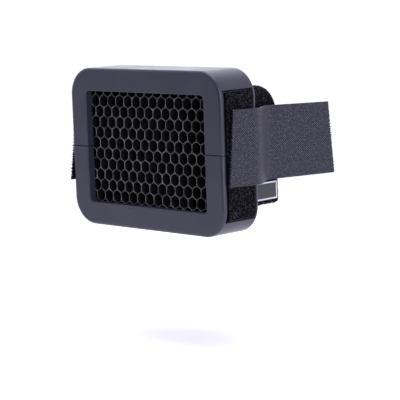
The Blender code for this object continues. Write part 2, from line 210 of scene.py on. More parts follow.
# View and stage
CAMERA_PLACE = Vector((0.62645, -0.6113, 0.0924))
CAMERA_AIM = Vector((0.00984, 0.00396, -0.02827))
CAMERA_ROLL = -2.03
CAMERA_LENS = 152.6
CAMERA_SENSOR = 36
FLOOR_LEVEL = -0.1
FLOOR_RADIUS = 0.5
FLOOR_SIDES = 64
ROOM_TINT = (0.95, 0.94, 1.05)  # a slightly violet white
ROOM_LEVEL = 1.15
BACKDROP_LEVEL = 1.1  # the room as the camera sees it
ROOM_ZONES = (  # a direction, where its zone starts and is full (as cosines), and the change there
    ((0.05, -1, -0.1), 0.45, 0.95, -0.95),
    ((-0.7, 0.7, 0.12), 0.6, 0.97, 0.6),
)
LIGHTS = (  # a name, a place, a size and a power; both shine at the origin
    ("right_softbox", (0.93, -0.36, 0.25), (0.45, 0.6), 5),
    ("top_softbox", (-0.1, 0.1, 0.9), (0.9, 0.9), 7),
)


# Node looks

class Nodes:
    """A node tree being put together: node() adds a node, whose inputs go by name, or by number as _0.

    An input's value may be another node's output.
    """

    def __init__(self, owner, main):
        owner.use_nodes = True
        self.tree = owner.node_tree
        self.main = self.tree.nodes[main]

    def node(self, kind, output=0, settings=None, **inputs):
        made = self.tree.nodes.new(kind)
        for key, value in (settings or {}).items():
            setattr(made, key, value)
        for key, value in inputs.items():
            self.feed(made, key, value)
        return made.outputs[output]

    def feed(self, node, key, value):
        socket = node.inputs[int(key[1:])] if key[0] == "_" else node.inputs[key.replace("_", " ")]
        if isinstance(value, bpy.types.NodeSocket):
            self.tree.links.new(value, socket)
        elif isinstance(value, tuple) and len(value) == 3 and socket.type == "RGBA":
            socket.default_value = (*value, 1)
        else:
            socket.default_value = value

    def set(self, **inputs):
        for key, value in inputs.items():
            self.feed(self.main, key, value)

    def coordinate(self, kind):
        """A texture coordinate: Object in metres, UV in millimetres, or Generated for the room."""
        return self.tree.nodes.new("ShaderNodeTexCoord").outputs[kind]

    def noise(self, place, scale, detail=3, rough=0.5):
        return self.node("ShaderNodeTexNoise", Vector=place, Scale=scale, Detail=detail, Roughness=rough)

    def ramp(self, value, low, high, start=0.0, end=1.0):
        return self.node("ShaderNodeMapRange", _0=value, _1=low, _2=high, _3=start, _4=end)

    def math(self, operation, first, second=0.0):
        return self.node("ShaderNodeMath", settings={"operation": operation}, _0=first, _1=second)

    def axis(self, place, index):
        return self.node("ShaderNodeSeparateXYZ", output=index, Vector=place)

    def mix(self, share, first, second):
        return self.node("ShaderNodeMix", output=2, settings={"data_type": "RGBA"},
                         _0=share, _6=first, _7=second)

    def bump(self, height, strength, distance):
        return self.node("ShaderNodeBump", Height=height, Strength=strength, Distance=distance)


class Look(Nodes):
    """A material being put together."""

    def __init__(self, name):
        self.material = bpy.data.materials.new(name)
        super().__init__(self.material, "Principled BSDF")

    def tone(self):
        """The shade of each thread, from 0 to 1."""
        return self.node("ShaderNodeAttribute", output=2, settings={"attribute_name": "tone"})


def frame_plastic():
    """Moulded black plastic: fine spark grain, faint cloudiness, a little uneven gloss."""
    look = Look("frame_plastic")
    place = look.coordinate("Object")
    cloud = look.noise(place, 45, 1)
    grain = look.noise(place, 2600, 2)
    colour = look.mix(look.ramp(cloud, 0.35, 0.65), (0.019, 0.0195, 0.0355), (0.0225, 0.023, 0.041))
    look.set(
        Base_Color=colour,
        Roughness=look.ramp(look.noise(place, 90, 1), 0.3, 0.7, 0.27, 0.34),
        Specular_IOR_Level=0.36,
        Normal=look.bump(grain, 0.15, 0.03 * MM),
    )
    return look.material


def core_plastic():
    """Black tube walls whose cut front ends are paler and patchy."""
    look = Look("core_plastic")
    place = look.coordinate("Object")
    depth = look.axis(place, 1)
    edge = look.ramp(depth, CORE_LOW.y + CUT_PALE[1], CORE_LOW.y + CUT_PALE[0])
    patch = look.ramp(look.noise(place, 420, 4, 0.65), 0.34, 0.66, 0.15, 1.0)
    bare = look.math("MULTIPLY", edge, patch)
    look.set(
        Base_Color=look.mix(bare, (0.006, 0.0058, 0.0072), (0.27, 0.258, 0.25)),
        Roughness=look.ramp(bare, 0, 1, 0.5, 0.6),
        Specular_IOR_Level=look.ramp(bare, 0, 1, 0.12, 0.4),
        Normal=look.bump(look.noise(place, 900, 3), 0.3, 0.04 * MM),
    )
    return look.material


def pile_thread():
    """Fine nylon loops, each with a tone of its own: most are black, a few catch the light."""
    look = Look("loop_pile")
    tone = look.math("POWER", look.tone(), 3.0)
    look.set(
        Base_Color=look.mix(tone, (0.0012, 0.001, 0.0016), (0.12, 0.11, 0.15)),
        Roughness=0.6,
        Specular_IOR_Level=look.ramp(tone, 0, 1, 0.04, 0.4),
    )
    return look.material


def loop_cloth():
    """The brushed ground that the loops stand on."""
    look = Look("loop_ground")
    place = look.coordinate("UV")
    fuzz = look.noise(place, 1.6, 5, 0.65)
    speck = look.ramp(look.noise(place, 3.1, 3, 0.7), 0.62, 0.78)
    dark = look.mix(look.ramp(fuzz, 0.3, 0.7), (0.0008, 0.0007, 0.0011), (0.004, 0.0036, 0.0055))
    look.set(
        Base_Color=look.mix(speck, dark, (0.014, 0.0125, 0.018)),
        Roughness=0.95,
        Specular_IOR_Level=0.04,
        Normal=look.bump(fuzz, 1.0, 0.5 * MM),
    )
    return look.material


def hook_cloth():
    """The hook tape's woven back: a fine plain weave of nylon, some of its threads paler."""
    look = Look("hook_tape")
    place = look.coordinate("UV")
    along, up = look.axis(place, 0), look.axis(place, 1)
    warp = look.math("MULTIPLY", along, 2 * math.pi / WEAVE_RUN)
    weft = look.math("MULTIPLY", up, 2 * math.pi / WEAVE_RISE)
    weave = look.math("ADD", look.math("COSINE", look.math("ADD", warp, weft)),
                      look.math("COSINE", look.math("SUBTRACT", warp, weft)))
    stray = look.ramp(look.noise(place, 0.9, 3, 0.8), 0.3, 0.7, -1.9, 1.5)
    float_ = look.ramp(look.math("ADD", weave, stray), 0.3, 3.2)
    cloud = look.noise(place, 0.08, 3)
    dark = look.mix(cloud, (0.008, 0.0077, 0.0135), (0.0105, 0.01, 0.0175))
    look.set(
        Base_Color=look.mix(float_, dark, (0.16, 0.156, 0.215)),
        Roughness=0.55,
        Specular_IOR_Level=0.2,
        Normal=look.bump(float_, 0.5, 0.15 * MM),
    )
    return look.material


def hook_thread():
    """Black nylon monofilament, each hook a shade of its own."""
    look = Look("hook_thread")
    tone = look.tone()
    look.set(
        Base_Color=look.mix(tone, (0.002, 0.002, 0.003), (0.01, 0.01, 0.013)),
        Roughness=0.45,
        Specular_IOR_Level=0.25,
    )
    return look.material


def strap_rubber():
    """Non-slip rubber, with fine ribs across the strap and a dusty bloom."""
    look = Look("strap_rubber")
    place = look.coordinate("UV")
    ribs = look.math("SINE", look.math("MULTIPLY", look.axis(place, 0), 2 * math.pi / RIB_RUN))
    bloom = look.noise(place, 0.25, 4, 0.6)
    look.set(
        Base_Color=look.mix(look.ramp(bloom, 0.35, 0.7), (0.012, 0.012, 0.0135), (0.026, 0.026, 0.028)),
        Roughness=look.ramp(bloom, 0.3, 0.7, 0.62, 0.85),
        Normal=look.bump(ribs, 0.6, 0.2 * MM),
    )
    return look.material


def pad_glue():
    """A black, slightly cloudy film of adhesive."""
    look = Look("pad_glue")
    place = look.coordinate("Object")
    cloud = look.noise(place, 350, 4, 0.6)
    look.set(
        Base_Color=look.mix(cloud, (0.008, 0.008, 0.01), (0.02, 0.02, 0.024)),
        Roughness=look.ramp(cloud, 0.3, 0.7, 0.35, 0.6),
        Normal=look.bump(cloud, 0.4, 0.05 * MM),
    )
    return look.material


def label_cloth():
    """Dark woven label with a pale border, and no lettering."""
    look = Look("label_cloth")
    place = look.coordinate("UV")
    length = (LABEL_HIGH.y - LABEL_LOW.y) / MM
    height = (LABEL_HIGH.z - LABEL_LOW.z) / MM
    from_end = look.math("MINIMUM", look.axis(place, 0), look.math("SUBTRACT", length, look.axis(place, 0)))
    from_side = look.math("MINIMUM", look.axis(place, 1), look.math("SUBTRACT", height, look.axis(place, 1)))
    edge = look.math("MINIMUM", from_end, from_side)
    outside, inside = LABEL_BORDER
    border = look.math("MULTIPLY", look.math("GREATER_THAN", edge, outside),
                       look.math("LESS_THAN", edge, inside))
    threads = look.node("ShaderNodeTexWave", output=1, Vector=place, Scale=2.2, Distortion=0.6)
    dark = look.mix(threads, (0.008, 0.008, 0.012), (0.024, 0.024, 0.032))
    light = look.mix(threads, (0.42, 0.42, 0.45), (0.62, 0.62, 0.66))
    look.set(
        Base_Color=look.mix(border, dark, light),
        Roughness=0.65,
        Sheen_Weight=0.1,
        Normal=look.bump(threads, 0.4, 0.08 * MM),
    )
    return look.material


def stitch_thread():
    """Twisted black sewing thread."""
    look = Look("stitch_thread")
    place = look.coordinate("Object")
    twist = look.noise(place, 3000, 2)
    look.set(
        Base_Color=look.mix(twist, (0.008, 0.008, 0.011), (0.035, 0.035, 0.042)),
        Roughness=0.55,
        Sheen_Weight=0.1,
    )
    return look.material


LOOKS = {
    make.__name__: make()
    for make in (
        frame_plastic, core_plastic, pile_thread, loop_cloth, hook_cloth, hook_thread,
        strap_rubber, pad_glue, label_cloth, stitch_thread,
    )
}


# Meshes

def piece(name, verts, faces, look, slot, uv=None, tone=None, sharp=35):
    """A smooth-shaded mesh object. uv gives each vertex's place on the cloth, tone its shade."""
    data = bpy.data.meshes.new(name)
    data.from_pydata([tuple(v) for v in verts], [], faces)
    data.materials.append(LOOKS[look])
    data.shade_smooth()
    data.set_sharp_from_angle(angle=math.radians(sharp))
    if uv:
        layer = data.uv_layers.new(name="cloth")
        for loop in data.loops:
            layer.data[loop.index].uv = uv[loop.vertex_index]
    if tone:
        layer = data.attributes.new("tone", "FLOAT", "POINT")
        layer.data.foreach_set("value", tone)
    made = bpy.data.objects.new(name, data)
    bpy.context.scene.collection.objects.link(made)
    return made


def swept(rings):
    """Vertices and faces of closed rings joined one to the next, with a cap at each end."""
    count = len(rings[0])
    verts = [v for ring in rings for v in ring]
    faces = []
    for r in range(len(rings) - 1):
        for i in range(count):
            j = (i + 1) % count
            here, there = r * count, (r + 1) * count
            faces.append((here + i, here + j, there + j, there + i))
    last = (len(rings) - 1) * count
    faces.append(tuple(reversed(range(count))))
    faces.append(tuple(range(last, last + count)))
    return verts, faces


def spread(low, high, count):
    return [low + (high - low) * i / count for i in range(count + 1)]


# Frame halves

def quarter(steps):
    return [math.pi / 2 * i / steps for i in range(steps + 1)]


def front_edge():
    return [
        (FRONT_FILLET * (1 - math.cos(a)), FRONT_FILLET * (1 - math.sin(a))) for a in quarter(FILLET_STEPS)
    ]


def rear_edge():
    return [
        (REAR_FILLET * (1 - math.sin(a)), DEPTH - REAR_FILLET * (1 - math.cos(a)))
        for a in quarter(FILLET_STEPS)
    ]


def mouth_edge(depth, inwards):
    """The rounded edge of the opening, at the front (inwards 1) or the rear (inwards -1) face."""
    return [
        (BEZEL_WIDTH - MOUTH_ROUND * (1 - math.sin(a)), depth + inwards * MOUTH_ROUND * (1 - math.cos(a)))
        for a in quarter(MOUTH_STEPS)
    ]


def side_wall(recess):
    """The outside of the wall from rear to front, with the pad's recess sunk into it."""
    near = DEPTH + PAD_LOW.y - RECESS_SETBACK
    far = DEPTH + PAD_HIGH.y + RECESS_BEHIND
    soft = RECESS_RIM
    if not recess:
        return [
            (0, far + soft), (0, far + soft / 2), (0, far), (0, far - soft),
            (0, near + soft), (0, near), (0, near - soft / 2), (0, near - 2 * soft),
        ]
    return [
        (0, far + soft), (0.3 * soft, far + 0.3 * soft), (soft, far), (RECESS, far),
        (RECESS, near), (2 * soft, near), (0.6 * soft, near - 0.6 * soft), (0, near - 2 * soft),
    ]


def frame_section(recess, seam_end):
    """The half's section as (inset, depth) pairs; its seam ends are drawn in all round."""
    inside = BEZEL_WIDTH - LIP_THICKNESS
    section = [
        *front_edge(),
        (FRONT_FILLET + SUPPORT, 0),
        (BEZEL_WIDTH - MOUTH_ROUND - SUPPORT, 0),
        *mouth_edge(0, 1),
        (BEZEL_WIDTH, MOUTH_ROUND + SUPPORT),
        (BEZEL_WIDTH, LIP_DEPTH),
        (inside, LIP_DEPTH),
        (inside, BEZEL_THICKNESS),
        (WALL, BEZEL_THICKNESS),
        (WALL, DEPTH - REAR_FLANGE),
        (BEZEL_WIDTH, DEPTH - REAR_FLANGE),
        (BEZEL_WIDTH, DEPTH - MOUTH_ROUND - SUPPORT),
        *reversed(mouth_edge(DEPTH, -1)),
        (BEZEL_WIDTH - MOUTH_ROUND - SUPPORT, DEPTH),
        (REAR_FILLET + SUPPORT, DEPTH),
        *rear_edge(),
        (0, DEPTH - REAR_FILLET - SUPPORT / 2),
        *side_wall(recess),
        (0, FRONT_FILLET + SUPPORT),
    ]
    if seam_end:
        section = [
            (min(max(i, SEAM_EDGE), BEZEL_WIDTH - SEAM_EDGE), min(max(d, SEAM_EDGE), DEPTH - SEAM_EDGE))
            for i, d in section
        ]
    return section


def frame_stations(up):
    """Stations round a half, right to left: a point, the way inwards, whether the recess is there."""
    bend_x, bend_z = HALF_WIDTH - CORNER_RADIUS, HALF_HEIGHT - CORNER_RADIUS
    edge = PAD_TOP if up > 0 else -PAD_BOTTOM
    recess_end = math.degrees(math.asin((edge + RECESS_MARGIN - bend_z) / CORNER_RADIUS))
    straight = (SEAM, SEAM + SEAM_EDGE, bend_z - MM)
    right = [(Vector((HALF_WIDTH, z)), Vector((-1, 0)), True) for z in straight]
    turns = [a for a in spread(0, 90, CORNER_STEPS) if abs(a - recess_end) > RECESS_CLEAR]
    for angle in sorted([*turns, recess_end, recess_end + RECESS_EASE]):
        outward = Vector((math.cos(math.radians(angle)), math.sin(math.radians(angle))))
        point = Vector((bend_x, bend_z)) + CORNER_RADIUS * outward
        right.append((point, -outward, angle <= recess_end))
    right.append((Vector((bend_x - MM, HALF_HEIGHT)), Vector((0, -1)), False))
    left = [(Vector((-p.x, p.y)), Vector((-d.x, d.y)), r) for p, d, r in reversed(right)]
    return [(Vector((p.x, up * p.y)), Vector((d.x, up * d.y)), r) for p, d, r in [*right, *left]]


def build_frame():
    for name, up in (("upper", 1), ("lower", -1)):
        stations = frame_stations(up)
        rings = []
        for i, (base, inward, recess) in enumerate(stations):
            section = frame_section(recess, i in (0, len(stations) - 1))
            ring = [base + inward * inset for inset, _ in section]
            rings.append([Vector((p.x, d - DEPTH, p.y)) for p, (_, d) in zip(ring, section)])
        if up > 0:
            rings.reverse()
        made = piece(f"{name}_frame_moulding", *swept(rings), "frame_plastic", "frame_plastic", sharp=32)
        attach(made, "grid")
        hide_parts(f"{name}_frame")


# Core

def looped(rings):
    """Vertices and faces of closed rings joined one to the next and back to the first."""
    count = len(rings[0])
    verts = [v for ring in rings for v in ring]
    faces = []
    for r in range(len(rings)):
        here, there = r * count, (r + 1) % len(rings) * count
        for i in range(count):
            j = (i + 1) % count
            faces.append((here + i, here + j, there + j, there + i))
    return verts, faces


def middle_line(around):
    """How far a tube's wall is from its centre: round, but pressed flat by its six neighbours."""
    neighbours = (
        Vector((TUBE_PITCH, 0)), Vector((TUBE_PITCH / 2, ROW_PITCH)), Vector((-TUBE_PITCH / 2, ROW_PITCH)),
    )
    press = sum(abs(2 * around.dot(n) / n.length_squared) ** TUBE_PRESS for n in neighbours)
    return press ** (-1 / TUBE_PRESS)


def tube(centre, front, seed):
    """One tube of the core, fused to its neighbours, with soft edges on its front cut."""
    half = TUBE_WALL / 2
    section = [
        (half, CORE_HIGH.y), (half, front + CUT_ROUND), (half - CUT_ROUND, front),
        (CUT_ROUND - half, front), (-half, front + CUT_ROUND), (-half, CORE_HIGH.y),
    ]
    rings = []
    for i in range(TUBE_SIDES):
        angle = 2 * math.pi * i / TUBE_SIDES
        around = Vector((math.cos(angle), math.sin(angle)))
        swell = 1 + TUBE_WOBBLE * noise.noise(Vector((around.x, around.y, seed)))
        ring = []
        for inset, y in section:
            p = centre + around * (middle_line(around) * swell - inset)
            ring.append(Vector((p.x + CORE_LEAN * p.y, y, p.y + CORE_TILT * p.x)))
        rings.append(ring)
    return looped(rings)


def build_core():
    for r in range(ROWS):
        row = FIRST_ROW + r
        tubes = TUBES[row % 2]
        verts, faces = [], []
        for t in range(tubes):
            seed = row * TUBE_SEEDS[0] + t * TUBE_SEEDS[1]
            x = CORE_CENTRE_X + (t - tubes / 2) * TUBE_PITCH
            z = CORE_CENTRE_Z + row * ROW_PITCH
            wander = Vector([noise.noise(Vector((seed, 0.5, axis))) for axis in range(3)])
            centre = Vector((x, z)) + TUBE_WANDER * wander.xy
            front = CORE_LOW.y + CUT_UNEVEN * (1 + wander.z)
            tube_verts, tube_faces = tube(centre, front, seed)
            faces += [tuple(len(verts) + v for v in face) for face in tube_faces]
            verts += tube_verts
        made = piece(f"tube_row_{r + 1:02d}", verts, faces, "core_plastic", "core_plastic", sharp=40)
        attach(made, "grid")
        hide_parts(f"core_row_{r + 1:02d}")


# Tapes

class Strip:
    """A tape's outer face: stations of (point, way inwards) along it, and its sideways direction."""

    def __init__(self, stations, sideways):
        self.stations = stations
        self.sideways = Vector(sideways)
        self.reach = [0.0]
        for (here, _), (there, _) in zip(stations, stations[1:]):
            self.reach.append(self.reach[-1] + (there - here).length)
        self.length = self.reach[-1]

    def at(self, s):
        """The point and the way inwards at a length along the strip, or past its ends."""
        low, high = 0, len(self.reach) - 2
        while low < high:
            middle = (low + high + 1) // 2
            if self.reach[middle] <= s:
                low = middle
            else:
                high = middle - 1
        share = (s - self.reach[low]) / (self.reach[low + 1] - self.reach[low])
        (here, inward), (there, next_inward) = self.stations[low], self.stations[low + 1]
        return here.lerp(there, share), inward.lerp(next_inward, share).normalized()

    def place(self, s, across, depth):
        point, inward = self.at(s)
        return point + inward * depth + self.sideways * across

    def along(self, s):
        reach = 0.2 * MM
        return (self.at(s + reach)[0] - self.at(s - reach)[0]).normalized()


def arc(centre, radius, start, end, steps):
    """Stations of an arc in the front view, from start to end degrees."""
    stations = []
    for angle in spread(math.radians(start), math.radians(end), steps):
        outward = Vector((math.cos(angle), 0, math.sin(angle)))
        stations.append((Vector((centre[0], 0, centre[1])) + radius * outward, -outward))
    return stations


def with_inwards(points, turn):
    """Stations of a line of points; turn gives the way inwards from the way along."""
    stations = []
    for i, point in enumerate(points):
        run = (points[min(i + 1, len(points) - 1)] - points[max(i - 1, 0)]).normalized()
        stations.append((point, turn(run)))
    return stations


def edge_fall(distance, radius):
    """How far a rounded edge falls away, at a distance from it."""
    if distance >= radius:
        return 0
    return radius - math.sqrt(radius**2 - (radius - distance) ** 2)


def cloth(name, strip, ends, sides, depths, look, slot, step, lump=0.0, lump_size=3 * MM, fray=0.0):
    """A tape of one strip. ends(across) gives where it starts and stops, depths its two faces."""
    start, stop = ends(0.5)
    rows = max(int((stop - start) / step[0]), 2)
    columns = max(int((sides[1] - sides[0]) / step[1]), 4)
    thick = depths[1] - depths[0]
    radius = min(thick / 2, CLOTH_EDGE)
    rim = [radius * share for share in CLOTH_RIM]
    width = sides[1] - sides[0]
    acrosses = [*rim, *spread(radius, width - radius, columns)[1:-1], *[width - r for r in reversed(rim)]]
    verts, uv = [], []
    for face in (0, 1):
        for i in range(rows + 1):
            for a in acrosses:
                first, last = ends(a / width)
                first += fray * noise.noise(Vector((a / MM * FRAY_WAVES, 0, 1)))
                last += fray * noise.noise(Vector((a / MM * FRAY_WAVES, 0, 7)))
                s = first + (last - first) * i / rows
                fall = edge_fall(min(a, width - a), radius)
                seed = Vector((s / lump_size, a / lump_size, 0))
                if face == 0:
                    depth = depths[0] + fall - lump * noise.fractal(seed, *LUMP_NOISE)
                else:
                    depth = depths[1] - min(fall, thick / 2 - LAYER_GAP)
                if i in (0, rows):
                    depth += (thick * CLOTH_PINCH) * (1 if face == 0 else -1)
                verts.append(strip.place(s, sides[0] + a, depth))
                uv.append((s / MM, a / MM))
    faces = cloth_faces(rows, len(acrosses))
    if strip.along(start).cross(strip.sideways).dot(strip.at(start)[1]) < 0:
        faces = [tuple(reversed(face)) for face in faces]
    return piece(name, verts, faces, look, slot, uv=uv, sharp=60)


def cloth_faces(rows, n):
    """Faces over both sides and round the rim of a cloth of rows + 1 lines of n vertices on each side."""
    layer = (rows + 1) * n
    faces = []
    for i in range(rows):
        for j in range(n - 1):
            a, b, c, d = i * n + j, i * n + j + 1, (i + 1) * n + j + 1, (i + 1) * n + j
            faces.append((a, b, c, d))
            faces.append((layer + d, layer + c, layer + b, layer + a))
        for j, flip in ((0, False), (n - 1, True)):
            a, b = i * n + j, (i + 1) * n + j
            rimmed = (a, b, layer + b, layer + a)
            faces.append(tuple(reversed(rimmed)) if flip else rimmed)
    for i, flip in ((0, True), (rows, False)):
        for j in range(n - 1):
            a, b = i * n + j, i * n + j + 1
            rimmed = (a, b, layer + b, layer + a)
            faces.append(tuple(reversed(rimmed)) if flip else rimmed)
    return faces


# A thread's line, as shares of its size and height
LOOP = [(math.cos(a), math.sin(a)) for a in spread(0, math.pi, 5)]
HOOK = [(0, 0), (0, 0.5), (0.12, 0.85), (0.38, 1), (0.6, 0.78)]
STITCH = [(-0.5, -0.16), (-0.38, 0.05), (0, 0.12), (0.38, 0.05), (0.5, -0.16)]
THREAD_SIDES = (0, 2 * math.pi / 3, 4 * math.pi / 3)


def threads(name, strip, places, depth, profile, thick, look, slot, inner=False):
    """Short threads set on a strip. A place is (s, across, heading, size, height, lean, tone)."""
    verts, faces, tones = [], [], []
    for s, across, heading, size, height, lean, tone in places:
        _, inward = strip.at(s)
        up = inward if inner else -inward
        side = strip.along(s) * math.cos(heading) + strip.sideways * math.sin(heading)
        side = (side - up * side.dot(up)).normalized()
        third = side.cross(up)
        base = strip.place(s, across, depth)
        rings = []
        for k, (x, y) in enumerate(profile):
            before, after = profile[max(k - 1, 0)], profile[min(k + 1, len(profile) - 1)]
            run = Vector(((after[0] - before[0]) * size, (after[1] - before[1]) * height)).normalized()
            normal = side * -run.y + up * run.x
            centre = base + side * x * size + up * y * height + third * lean * y
            rings.append([
                centre + thick * (normal * math.cos(turn) + third * math.sin(turn)) for turn in THREAD_SIDES
            ])
        thread_verts, thread_faces = swept(rings)
        faces += [tuple(len(verts) + v for v in face) for face in thread_faces]
        verts += thread_verts
        tones += [tone] * len(thread_verts)
    return piece(name, verts, faces, look, slot, tone=tones, sharp=80)


def scattered(seed, s_range, across_range, spacing, make, keep=None):
    """Places in jittered rows; make(rng) gives a thread's heading, size, height, lean and tone."""
    rng = random.Random(seed)
    places = []
    rows = int((s_range[1] - s_range[0]) / spacing)
    columns = int((across_range[1] - across_range[0]) / spacing)
    for i in range(rows):
        for j in range(columns):
            s = s_range[0] + (i + rng.uniform(0.1, 0.9)) * spacing
            across = across_range[0] + (j + rng.uniform(0.1, 0.9)) * spacing
            rest = make(rng)
            if keep is None or keep(s, across):
                places.append((s, across, *rest))
    return places


def pile_loop(height):
    """Loops of about that height, turned and leaning every way."""
    def make(rng):
        tall = height * rng.uniform(0.55, 1.15)
        heading = rng.uniform(0, 2 * math.pi)
        return heading, tall * rng.uniform(0.25, 0.55), tall, tall * rng.uniform(-0.5, 0.5), rng.random()
    return make


def hook_stem(height):
    """Hooks of about that height, opening one way or the other along the tape."""
    def make(rng):
        heading = rng.choice((0, math.pi)) + rng.uniform(-0.35, 0.35)
        tall = height * rng.uniform(0.85, 1.0)
        return heading, height * 0.9, tall, height * rng.uniform(-0.1, 0.1), rng.random()
    return make


def seam_places(rng, runs, pitch, length):
    """Stitches along runs of ((s, across), (s, across)) on a strip."""
    places = []
    for (s0, a0), (s1, a1) in runs:
        run = Vector((s1 - s0, a1 - a0))
        count = int(run.length / pitch)
        heading = math.atan2(run.y, run.x)
        for i in range(count):
            share = (i + 0.5) / count
            wander = rng.uniform(-STITCH_TURN, STITCH_TURN)
            places.append((
                s0 + run.x * share, a0 + run.y * share, heading + wander,
                length, STITCH_HEIGHT, 0, rng.random(),
            ))
    return places


def hooks_on(name, strip, places, depth):
    return threads(name, strip, places, depth, HOOK, HOOK_THREAD, "hook_thread", "hook_tape", inner=True)


def seam_on(name, strip, seed, runs, stitch, depth, slot, inner=False):
    """A seam's stitches; stitch is their pitch, length and thread radius."""
    pitch, length, thick = stitch
    places = seam_places(random.Random(seed), runs, pitch, length)
    return threads(name, strip, places, depth, STITCH, thick, "stitch_thread", slot, inner=inner)


# Loop pads

def pad_strip(side):
    """Up one side wall at a pad's outer face, round the starts of the corners."""
    bend_x, bend_z = HALF_WIDTH - CORNER_RADIUS, HALF_HEIGHT - CORNER_RADIUS
    low = math.degrees(math.asin((PAD_BOTTOM + bend_z) / CORNER_RADIUS))
    high = math.degrees(math.asin((PAD_TOP - bend_z) / CORNER_RADIUS))
    radius = CORNER_RADIUS - PAD_SEAT
    right = [
        *arc((bend_x, -bend_z), radius, low, 0, PAD_BEND_STEPS),
        *arc((bend_x, bend_z), radius, 0, high, PAD_BEND_STEPS),
    ]
    stations = [(Vector((side * p.x, 0, p.z)), Vector((side * d.x, 0, d.z))) for p, d in right]
    return Strip(stations, (0, 1, 0))


def build_pads():
    for word, side in (("right", 1), ("left", -1)):
        strip = pad_strip(side)
        pad = cloth(
            f"{word}_pad_cloth", strip, lambda a: (0, strip.length), (PAD_LOW.y, PAD_HIGH.y),
            (PAD_CLOTH_TOP, PAD_CLOTH_TOP + PAD_CLOTH), "loop_cloth", "loop_pile",
            step=(PAD_STEP, PAD_STEP), lump=0.22 * MM, lump_size=2.2 * MM, fray=0.25 * MM,
        )
        places = scattered(
            11 + side, (-PAD_FUZZ, strip.length + PAD_FUZZ),
            (PAD_LOW.y - PAD_SIDE_FUZZ, PAD_HIGH.y + PAD_SIDE_FUZZ),
            PAD_PILE_SPACING, pile_loop(PAD_PILE),
        )
        pile = threads(
            f"{word}_pad_pile", strip, places, PAD_PILE_ROOT, LOOP, PAD_PILE_THREAD,
            "pile_thread", "loop_pile",
        )
        for made in (pad, pile):
            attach(made, "grid")
        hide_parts(f"{word}_loop_pad")
        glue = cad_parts[f"{word}_pad_adhesive"].data.materials
        glue.clear()
        glue.append(LOOKS["pad_glue"])


# Hook tabs

def tab_x(y):
    share = min(max((y - TAB_BEND_START) / (TAB_BEND_END - TAB_BEND_START), 0), 1)
    return TAB_OUTER + (TAB_REST - TAB_OUTER) * (1 - math.cos(math.pi * share)) / 2


def tab_strip(side):
    """A tab's outer face from front to rear, at the tab's middle height."""
    first = min(TAB_FRONTS[side]) - MM
    last = max(TAB_REAR) + MM
    points = [
        Vector((side * tab_x(y), y, TAB_HEIGHTS[side] - TAB_DROOP * y))
        for y in spread(first, last, TAB_STEPS)
    ]
    stations = with_inwards(points, lambda run: side * Vector((-run.y, run.x, 0)).normalized())
    return Strip(stations, (0, 0, 1))


def reach_of(strip, y):
    """How far along a tab's strip depth y lies."""
    for k, ((here, _), (there, _)) in enumerate(zip(strip.stations, strip.stations[1:])):
        if there.y >= y:
            return strip.reach[k] + (y - here.y) / (there.y - here.y) * (strip.reach[k + 1] - strip.reach[k])
    return strip.length


def build_tabs():
    for word, side in (("right", 1), ("left", -1)):
        strip = tab_strip(side)
        starts = [reach_of(strip, y) for y in TAB_FRONTS[side]]
        stops = [reach_of(strip, y) for y in TAB_REAR]

        def ends(share, starts=starts, stops=stops):
            return starts[0] + (starts[1] - starts[0]) * share, stops[0] + (stops[1] - stops[0]) * share

        half = TAB_WIDTH / 2
        tab = cloth(
            f"{word}_hook_tab", strip, ends, (-half, half), (0, TAB_WEAVE), "hook_cloth", "hook_tape",
            step=(0.8 * MM, 0.38 * MM), lump=0.06 * MM, lump_size=9 * MM, fray=TAB_FRAY,
        )

        def ground_ends(share, ends=ends):
            first, last = ends(share)
            return first - TAB_SHOWING, last + TAB_SHOWING

        ground = cloth(
            f"{word}_tab_ground", strip, ground_ends, (-half, half), (TAB_WEAVE, TAB_CLOTH), "hook_thread",
            "hook_tape", step=(2 * MM, 0.38 * MM), fray=TAB_FRAY,
        )

        def within(s, across, ends=ends, half=half):
            first, last = ends((across + half) / (2 * half))
            return first + TAB_HOOK_MARGIN < s < last - TAB_HOOK_MARGIN

        places = scattered(
            31 + side, (0, strip.length), (-half + HOOK_SELVEDGE, half - HOOK_SELVEDGE), TAB_HOOK_SPACING,
            hook_stem(TAB_HOOK), within,
        )
        hooks = hooks_on(f"{word}_tab_hooks", strip, places, TAB_HOOK_ROOT)
        for made in (tab, ground, hooks):
            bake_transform(made)
        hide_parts(f"{word}_tab_anchor", f"{word}_tab_flap")


# Strap

def band_strip():
    """The strap's outer face round the head, from its start under the head to the left foot."""
    side, low, high = BAND_HALF_WIDTH, BAND_BOTTOM, BAND_TOP
    foot, shoulder = BAND_BOTTOM_RADIUS, BAND_TOP_RADIUS
    stations = [
        (Vector((BAND_START, 0, low)), Vector((0, 0, 1))),
        (Vector((side - foot - MM, 0, low)), Vector((0, 0, 1))),
        *arc((side - foot, low + foot), foot, -90, 0, BAND_BOTTOM_STEPS),
        *arc((side - shoulder, high - shoulder), shoulder, 0, 90, BAND_TOP_STEPS),
        *arc((shoulder - side, high - shoulder), shoulder, 90, 180, BAND_TOP_STEPS),
        *arc((foot - side, low + foot), foot, 180, 270, BAND_BOTTOM_STEPS),
    ]
    return Strip(stations, (0, 1, 0))


